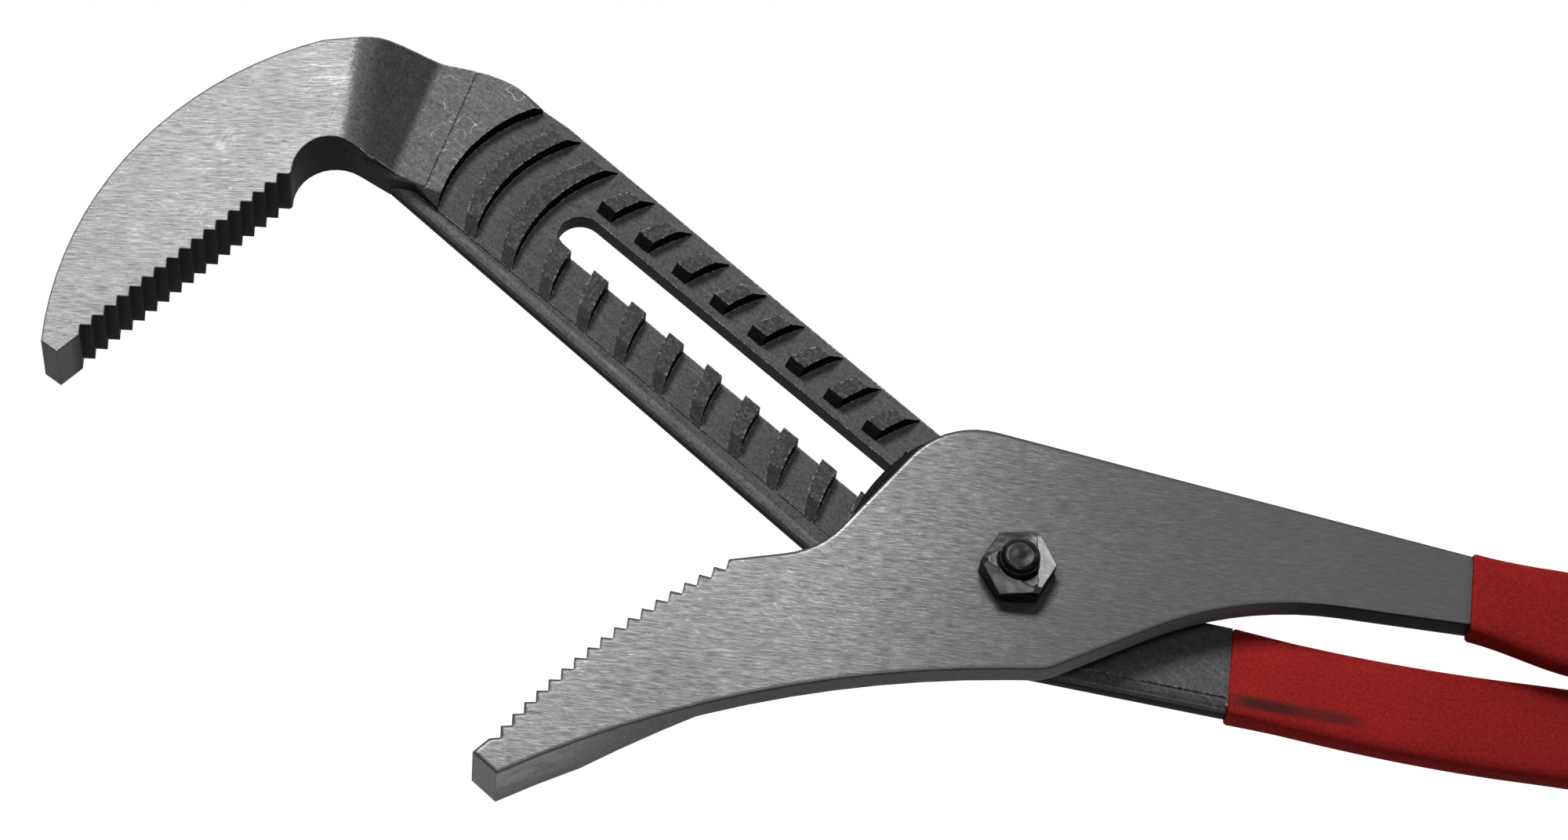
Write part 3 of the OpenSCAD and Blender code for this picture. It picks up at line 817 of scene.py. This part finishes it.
@dataclass(frozen=True)
class FastenerSteel:
    """Satin steel of the bolt or the nut, its sides and back slopes painted darker as shade, and its rubbed
    edges lighter, partly as painted highlight.

    Args:
        name: material name.
        base: grey of the faces that look up.
        side: grey of the sides, painted darker as shade.
        rough: roughness.
        flat_dull: how much duller its flat top is than its slopes.
        back_shade: how much darker its slopes are painted on the side away from the handles, as shade.
        rub: width of its rubbed edges in millimetres, and how light they are; the light is partly wear and
            partly painted highlight.
        rub_share: values of the edge mask where they start and are full.
        rub_glint_grain: values of the grain where they start and are full.
        rub_glint_matte: how much metallic share a rubbed edge loses.
        metal: metallic share.
        grain: fine texture.
        smear: wiped texture.
        dent: slow unevenness.
        up_at: faces that look up.
        flat_at: the flat top.
        back_shade_at: the back slopes, which get the painted shade.
        rough_swing: swing of the roughness with the grain.
        grain_bump: strength and depth of the grain, in metres.
        dent_bump: strength and depth of the dents, in metres.
        round_mm: rounding of the edges.
    """

    name: str
    base: float
    side: float
    rough: float
    flat_dull: float = 0.0
    back_shade: float = 0.0
    rub: Span = (0.45, 0.4)
    rub_share: Span = (0.01, 0.1)
    rub_glint_grain: Span = (0.3, 0.55)
    rub_glint_matte: float = 1.6
    metal: float = 0.9
    grain: Texture = Texture((0.9, 0.9, 0.9), octaves=4.0, rough=0.65, weight=0.4)
    smear: Texture = Texture((0.5, 2.0, 0.5), weight=0.6)
    dent: Texture = Texture((0.2, 0.2, 0.2), octaves=1.0)
    up_at: Limits = ((Axis.NZ, 0.35, 0.7),)
    flat_at: Limits = ((Axis.NZ, 0.97, 0.99),)
    back_shade_at: Limits = ((Axis.NX, -0.1, -0.22),)
    rough_swing: float = 0.2
    grain_bump: Span = (0.2, 0.0001)
    dent_bump: Span = (0.4, 0.0012)
    round_mm: float = 0.3

    def material(self) -> bpy.types.Material:
        """Mixes the faces, the sides and the rubbed edges.

        Returns:
            The material.
        """
        p = Paint(self.name)
        grain = self.grain.noise(p, *p.axes())
        smear = self.smear.noise(p, *p.axes())
        up = p.within(self.up_at)
        # Rubbed edges, lighter partly as wear and partly as painted highlight.
        rub = p.worn(self.rub[0]).step(*self.rub_share) * grain.step(*self.rub_glint_grain) * self.rub[1] * up
        # The flat top is duller; the back slopes get painted shade.
        darkening = p.within(self.flat_at) * self.flat_dull + p.within(self.back_shade_at) * self.back_shade
        shade = grain.about(1.0, self.grain.weight) + smear.about(0.0, self.smear.weight)
        # The sides are painted darker than the faces, as shade.
        p.feed("Base Color", p.grey(up.mix(self.side, shade * (1.0 - darkening) * self.base) + rub))
        p.feed("Metallic", self.metal - rub * self.rub_glint_matte)
        p.feed("Roughness", grain.about(self.rough, self.rough_swing))
        dented = p.bump(self.dent.noise(p, *p.axes()), *self.dent_bump, p.bevel(self.round_mm))
        p.feed("Normal", p.bump(grain, *self.grain_bump, dented))
        return p.material


@dataclass(frozen=True)
class Vinyl:
    """Matte red dipped vinyl, with painted shade towards the grips' ends, a dark rub mark and a brown lip.

    Args:
        name: material name.
        color: linear colour.
        lip: linear colour of the cut lip.
        lip_at: the lip.
        grain: fine texture.
        cloud: slow change.
        darkest: least share of the colour.
        falloff_shade: how much darker the grips are painted towards their ends, as light falling off.
        falloff_shade_at: where that painted shade lies.
        smudge: place and heading of the rub mark, in millimetres and degrees.
        smudge_u: half lengths where the mark starts and is full.
        smudge_v: half widths where the mark starts and is full.
        smudge_at: the upper side of the lower grip, which alone has it.
        smudge_mix: shares of grain and cloud that break it up.
        smudge_share: values of that mix where it starts and is full.
        smudge_dark: how much colour it takes off, and the grey that it adds.
        rough: roughness.
        specular: specular level.
        bump: strength and depth of the grain, in metres.
    """

    name: str
    color: Triple = (0.272, 0.0145, 0.0125)
    lip: Triple = (0.05, 0.012, 0.008)
    lip_at: Limits = ((Axis.NX, -0.5, -0.85),)
    grain: Texture = Texture((1.4, 1.4, 1.4), rough=0.8, weight=1.9)
    cloud: Texture = Texture((0.05, 0.05, 0.05), octaves=2.0, weight=0.3)
    darkest: float = 0.3
    falloff_shade: float = 0.24
    falloff_shade_at: Limits = ((Axis.X, 75.0, 165.0),)
    smudge: Triple = (72.0, -15.8, 2.0)
    smudge_u: Span = (20.0, 10.0)
    smudge_v: Span = (2.2, 0.66)
    smudge_at: Limits = ((Axis.Z, 14.0, 13.5), (Axis.NZ, 0.1, 0.5))
    smudge_mix: Span = (0.6, 0.4)
    smudge_share: Span = (0.32, 0.55)
    smudge_dark: Span = (0.85, 0.012)
    rough: float = 0.75
    specular: float = 0.05
    bump: Span = (0.5, 0.00012)

    def mark(self, p: Paint, grain: Sock, cloud: Sock) -> Sock:
        """The dark rub mark on the lower grip.

        Args:
            p: the paint it goes in.
            grain: the fine texture.
            cloud: the slow change.

        Returns:
            1 on the mark, 0 off it.
        """
        x, y, _ = p.axes()
        u, v = turned(x - self.smudge[0], y - self.smudge[1], self.smudge[2])
        spread = u.abs().step(*self.smudge_u) * v.abs().step(*self.smudge_v)
        broken = (grain * self.smudge_mix[0] + cloud * self.smudge_mix[1]).step(*self.smudge_share)
        return spread * broken * p.within(self.smudge_at)

    def material(self) -> bpy.types.Material:
        """Mixes the red, its painted shade towards the ends, the rub mark and the lip.

        Returns:
            The material.
        """
        p = Paint(self.name)
        grain = self.grain.noise(p, *p.axes())
        cloud = self.cloud.noise(p, *p.axes())
        mark = self.mark(p, grain, cloud)
        end = p.within(self.lip_at)
        shade = grain.about(1.0, self.grain.weight) + cloud.about(0.0, self.cloud.weight)
        # Painted shade: the red darkens towards the grips' ends, as light falling off.
        shade = shade.maximum(self.darkest) * (1.0 - p.within(self.falloff_shade_at) * self.falloff_shade)
        shade = shade * (1.0 - mark * self.smudge_dark[0])
        soot = mark * self.smudge_dark[1]
        parts = [end.mix(shade * red, lip) + soot for red, lip in zip(self.color, self.lip)]
        p.feed("Base Color", p.node("ShaderNodeCombineColor", inputs=dict(enumerate(parts))))
        p.feed("Roughness", self.rough)
        p.feed("Specular IOR Level", self.specular)
        p.feed("Normal", p.bump(grain, *self.bump))
        return p.material


@dataclass
class Grip:
    """A dipped grip swept along its handle's path; sizes are in millimetres.

    Args:
        name: piece name.
        node: CAD node it stands for.
        body: body it rides on.
        start: x, y and heading of the path, in millimetres and degrees.
        bends: straight runs as length and 0, or bends as radius and angle, before the straight tail.
        reach: x of the grip's end.
        width0: width at the front lip.
        width1: width after the flare.
        flare: length of the flare.
        z: height of the section's centre.
        height: height of the section.
        play: gap before the front lip.
        lip: length of the rounded front lip.
        lip_in: share by which the lip draws in.
        lip_rings: rings over the lip.
        dome: length of the domed end.
        dome_power: power of the dome's outline.
        dome_full: share of the dome before its small flat end.
        dome_rings: rings over the dome.
        end_wall: vinyl beyond the handle's end.
        dip_deg: slant of the front lip in the tool's frame.
        slant: length over which the slant fades out.
        corners: power of the section at the lip and behind it.
        rings: rings between lip and dome.
        around: points round a ring.
    """

    name: str
    node: str
    body: Body
    start: Triple
    bends: Sequence[Span]
    reach: float
    width0: float
    width1: float
    flare: float
    z: float
    height: float = 9.6
    play: float = 0.15
    lip: float = 0.8
    lip_in: float = 0.04
    lip_rings: int = 9
    dome: float = 11.0
    dome_power: float = 2.4
    dome_full: float = 0.985
    dome_rings: int = 28
    end_wall: float = 6.0
    dip_deg: float = 5.5
    slant: float = 14.0
    corners: Span = (0.3, 0.5)
    rings: int = 220
    around: int = 72
    piece: Any = field(default=None, init=False)

    def path(self, s: np.ndarray) -> tuple[np.ndarray, np.ndarray, np.ndarray]:
        """Walks the path.

        A straight run adds its length along the heading; a bend adds the chord of its arc,
        R (sin h - sin h0) and R (cos h0 - cos h), signed by its side. The tail goes straight on.

        Args:
            s: lengths along the path.

        Returns:
            x, y and heading in radians at each length.
        """
        x, y = np.full_like(s, self.start[0]), np.full_like(s, self.start[1])
        h = np.full_like(s, math.radians(self.start[2]))
        left = s.copy()
        for size, deg in self.bends:
            length = self.run(size, deg)
            go = np.minimum(left, length)
            if deg == 0:
                x, y = x + go * np.cos(h), y + go * np.sin(h)
            else:
                side = math.copysign(1.0, deg)
                h0, h = h, h + side * go / size
                x = x + side * size * (np.sin(h) - np.sin(h0))
                y = y - side * size * (np.cos(h) - np.cos(h0))
            left = np.maximum(left - length, 0.0)
        return x + left * np.cos(h), y + left * np.sin(h), h

    @staticmethod
    def run(size: float, deg: float) -> float:
        """Returns the length of a straight run, or of a bend of that radius and angle."""
        return size if deg == 0 else size * abs(math.radians(deg))

    def length(self) -> float:
        """Follows the path as far as the reach.

        Returns:
            The path's length up to the grip's end.
        """
        bent = sum(self.run(size, deg) for size, deg in self.bends)
        x, _, h = self.path(np.array([bent]))
        return bent + (self.reach - self.end_wall - float(x[0])) / math.cos(float(h[0])) + self.end_wall

    def points(self) -> np.ndarray:
        """Works the surface out on a grid of rings and points round them.

        Point (s, t) is the path at s plus a round-cornered section: half width times the signed
        power of cos t across and half height times the signed power of sin t up, the power going
        from the first corner value at the lip to the second. Both shrink a little at the lip, and
        over the end, where the share follows (1 - q^k)^(1/k) with the dome's power k. The lip
        slants: a point across by a starts earlier by a times the tangent of the slant, fading out
        behind the lip. The width eases from lip to flare as e^2 (3 - 2 e).

        Returns:
            Places in metres, as rings by points by three.
        """
        s0, s1 = self.play, self.length()
        lip = s0 + self.lip * (1 - np.cos(np.linspace(0, math.pi / 2, self.lip_rings)))
        body = np.linspace(s0 + self.lip, s1 - self.dome, self.rings)[1:]
        end = s1 - self.dome + self.dome * np.sin(np.linspace(0, math.pi / 2, self.dome_rings))[1:]
        s = np.concatenate([lip, body, end])[:, None]
        t = np.linspace(0, 2 * math.pi, self.around, endpoint=False)[None, :]
        q = self.dome_full * np.maximum(0, (s - s1 + self.dome) / self.dome)
        edge = np.maximum(0, 1 - (s - s0) / self.lip)
        shrink = (1 - q ** self.dome_power) ** (1 / self.dome_power) * (1 - self.lip_in * edge ** 2)
        e = np.minimum(1, (s - s0) / self.flare)
        back = np.minimum(1, (s - s0) / self.slant)
        power = self.corners[0] + (self.corners[1] - self.corners[0]) * back
        half = (self.width0 + (self.width1 - self.width0) * e * e * (3 - 2 * e)) / 2 * shrink
        across = half * np.sign(np.cos(t)) * np.abs(np.cos(t)) ** power
        up = self.height / 2 * shrink * np.sign(np.sin(t)) * np.abs(np.sin(t)) ** power
        x, y, h = self.path(s - across * math.tan(math.radians(self.dip_deg - self.start[2])) * (1 - back))
        return np.stack([x - across * np.sin(h), y + across * np.cos(h), up + self.z], axis=-1) * MM

    def build(self) -> bpy.types.Object:
        """Builds the mesh: quads between neighbouring rings, and one flat face at each end.

        Returns:
            The new object.
        """
        points = self.points()
        n, m = points.shape[:2]
        i, k = np.meshgrid(np.arange(n - 1), np.arange(m), indexing="ij")
        a, b = i * m + k, i * m + (k + 1) % m
        quads = np.stack([a, a + m, b + m, b], axis=-1).reshape(-1, 4)
        faces = quads.tolist() + [list(range(m)), list(range((n - 1) * m, n * m))[::-1]]
        mesh = bpy.data.meshes.new(self.name)
        mesh.from_pydata(points.reshape(-1, 3).tolist(), [], faces)
        mesh.polygons.foreach_set("use_smooth", [True] * len(quads) + [False, False])
        mesh.update()
        self.piece = bpy.data.objects.new(self.name, mesh)
        bpy.context.scene.collection.objects.link(self.piece)
        return self.piece

    def dress(self, material: bpy.types.Material) -> None:
        """Puts the material in the grip's slot, hides the CAD node that it stands for and puts the grip on
        its body.

        Args:
            material: the vinyl.
        """
        self.piece.data.materials.append(material)
        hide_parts(self.node)
        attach(self.piece, self.body.value)
        LOG.info("grip %s", self.name)


@dataclass
class CadPiece:
    """A CAD node shown as it is, with a finish.

    Args:
        node: name of the CAD node.
        slot: record slot of its finish.
    """

    node: str
    slot: Slot
    piece: Any = field(default=None, init=False)

    def build(self) -> bpy.types.Object:
        """Returns the node's object, taken from the frame."""
        self.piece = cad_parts[self.node]
        return self.piece

    def dress(self, material: bpy.types.Material) -> None:
        """Gives the node its material and slot.

        Args:
            material: the finish.
        """
        self.piece.data.materials.clear()
        self.piece.data.materials.append(material)
        LOG.info("node %s", self.node)


@dataclass(frozen=True)
class Lamp:
    """A square soft box that points at the pivot's foot.

    Args:
        name: its name.
        place: where it hangs, in metres.
        side: its side, in metres.
        watts: its power.
    """

    name: str
    place: Triple
    side: float
    watts: float

    def build(self) -> bpy.types.Object:
        """Hangs the lamp.

        Returns:
            The light object.
        """
        data = bpy.data.lights.new(self.name, "AREA")
        data.shape = "RECTANGLE"
        data.size = data.size_y = self.side
        data.energy = self.watts
        lamp = bpy.data.objects.new(self.name, data)
        lamp.location = self.place
        lamp.rotation_euler = Vector(self.place).to_track_quat("Z", "Y").to_euler()
        bpy.context.scene.collection.objects.link(lamp)
        return lamp


@dataclass
class Studio:
    """Camera, lights, world and floor.

    Args:
        tilt_deg: angle between the view and the tool's face normal.
        lens_px: focal length in photo pixels.
        scale: photo pixels per millimetre at the pivot.
        pivot_px: the pivot's place in the photo.
        size_px: width and height of the photo.
        lean: image direction of the downward face normal.
        turn_deg: turn of the tool's x from image right, in the tool's plane.
        pivot_z: height of the pivot, in millimetres.
        clip: nearest and farthest distance that the camera sees, in metres.
        world: strength of the white world.
        floor_half: half side of the floor, in metres.
        floor_drop: how far the floor lies below the tool, in metres.
        floor_grey: grey of the floor where it catches light.
        floor_rough: roughness of the floor.
        lamps: the soft boxes.
    """

    tilt_deg: float = 26.0
    lens_px: float = 6500.0
    scale: float = 5.3
    pivot_px: Span = (1291.6, 747.5)
    size_px: tuple[int, int] = (2000, 1071)
    lean: Span = (-0.1547, 0.988)
    turn_deg: float = -11.46
    pivot_z: float = 14.4
    clip: Span = (0.05, 20.0)
    world: float = 0.06
    floor_half: float = 6.0
    floor_drop: float = 0.0005
    floor_grey: float = 0.6
    floor_rough: float = 0.9
    lamps: tuple[Lamp, ...] = (
        Lamp("key", (-0.448, 0.842, 1.526), 0.52, 26.0),
        Lamp("kicker", (0.86, 0.75, 0.81), 0.25, 3.2),
        Lamp("fill", (0.0, -0.2, 1.7), 0.6, 4.0),
    )

    def tool_axes(self) -> np.ndarray:
        """Works out the tool's axes in the camera's own, x right, y down and z ahead.

        The downward normal has image direction lean and makes tilt_deg with the view line; x and
        y follow from image right laid in the tool's plane and turned by turn_deg.

        Returns:
            The tool's x, y and z as the rows of a matrix.
        """
        tilt, turn = math.radians(self.tilt_deg), math.radians(self.turn_deg)
        lean = np.array(self.lean) / np.linalg.norm(self.lean)
        down = np.array([math.sin(tilt) * lean[0], math.sin(tilt) * lean[1], math.cos(tilt)])
        right = np.array([1.0, 0.0, 0.0]) - down * down[0]
        right /= np.linalg.norm(right)
        ahead = np.cross(-down, right)
        c, s = math.cos(turn), math.sin(turn)
        return np.array([c * right + s * ahead, -s * right + c * ahead, -down])

    def camera(self) -> bpy.types.Object:
        """Places the camera so that the pivot falls on its photo pixel at the photo's scale.

        Returns:
            The camera object.
        """
        rows = self.tool_axes()
        middle = np.array(self.size_px) / 2
        ray = np.append((np.array(self.pivot_px) - middle) / self.lens_px, 1.0)
        place = rows @ (-ray * self.lens_px / self.scale) + np.array([0, 0, self.pivot_z])
        turn = rows @ np.diag([1.0, -1.0, -1.0])
        data = bpy.data.cameras.new("camera")
        data.sensor_fit = "HORIZONTAL"
        data.sensor_width = SENSOR_MM
        data.lens = self.lens_px / self.size_px[0] * SENSOR_MM
        data.clip_start, data.clip_end = self.clip
        cam = bpy.data.objects.new("camera", data)
        cam.matrix_world = Matrix.Translation(Vector(place * MM)) @ Matrix(turn.tolist()).to_4x4()
        bpy.context.scene.collection.objects.link(cam)
        bpy.context.scene.camera = cam
        return cam

    def floor(self) -> bpy.types.Object:
        """Adds the pale floor, which shows plain white to the camera and in reflections.

        Returns:
            The floor object.
        """
        a, z = self.floor_half, -self.floor_drop
        mesh = bpy.data.meshes.new("floor")
        mesh.from_pydata([(-a, -a, z), (a, -a, z), (a, a, z), (-a, a, z)], [], [(0, 1, 2, 3)])
        plane = bpy.data.objects.new("floor", mesh)
        bpy.context.scene.collection.objects.link(plane)
        p = Paint("floor")
        p.feed("Base Color", (self.floor_grey, self.floor_grey, self.floor_grey, 1.0))
        p.feed("Roughness", self.floor_rough)
        white = p.node("ShaderNodeEmission", inputs={"Color": WHITE, "Strength": 1.0})
        seen = p.node("ShaderNodeLightPath", output="Is Camera Ray")
        for ray in ("Is Glossy Ray", "Is Transmission Ray"):
            seen = seen.maximum(p.node("ShaderNodeLightPath", output=ray))
        both = p.node("ShaderNodeMixShader", inputs={0: seen, 1: Sock(p, p.shader.outputs[0]), 2: white})
        p.tree.links.new(both.socket, p.tree.nodes["Material Output"].inputs["Surface"])
        mesh.materials.append(p.material)
        return plane

    def build(self) -> None:
        """Sets the view transform, the world, the camera, the floor and the lamps up."""
        scene = bpy.context.scene
        scene.view_settings.view_transform = "Standard"
        scene.world = bpy.data.worlds.new("studio")
        scene.world.use_nodes = True
        background = scene.world.node_tree.nodes["Background"].inputs
        background["Color"].default_value = WHITE
        background["Strength"].default_value = self.world
        self.camera()
        self.floor()
        for lamp in self.lamps:
            lamp.build()


def main() -> None:
    """Builds every piece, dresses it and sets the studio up."""
    logging.basicConfig(level=logging.INFO, format="%(name)s: %(message)s")
    finishes = {
        Slot.FORGED: ForgedSteel("forged_steel").material(),
        Slot.GROUND: GroundSteel("ground_steel").material(),
        Slot.BOLT: FastenerSteel("bolt_steel", base=0.022, side=0.012, rough=0.32).material(),
        Slot.NUT: FastenerSteel("nut_steel", base=0.17, side=0.012, rough=0.36, flat_dull=0.62,
                                back_shade=0.45, rub=(0.22, 0.25)).material(),
        Slot.VINYL: Vinyl("vinyl").material(),
    }
    nodes = [
        CadPiece("slotted_jaw_lever", Slot.FORGED),
        CadPiece("front_jaw_lever", Slot.GROUND),
        CadPiece("pivot_bolt", Slot.BOLT),
        CadPiece("lock_nut", Slot.NUT),
    ]
    for node in nodes:
        node.build()
        node.dress(finishes[node.slot])
    grips = [
        Grip("slotted_grip_skin", "slotted_lever_grip", Body.SLOTTED, start=(55.1, -8.6, -1.0),
             bends=[(20, 0), (480, 6.2), (500, -15.2)], reach=296.95, width0=22.6, width1=24.2,
             flare=80.0, z=8.15),
        Grip("front_grip_skin", "front_lever_grip", Body.FRONT, start=(108.0, 20.05, -3.3),
             bends=[(34, 0), (440, 15.3)], reach=351.05, width0=20.4, width1=25.2,
             flare=27.0, z=19.3),
    ]
    for grip in grips:
        grip.build()
        grip.dress(finishes[Slot.VINYL])
    Studio().build()


if __name__ == "__main__":
    main()
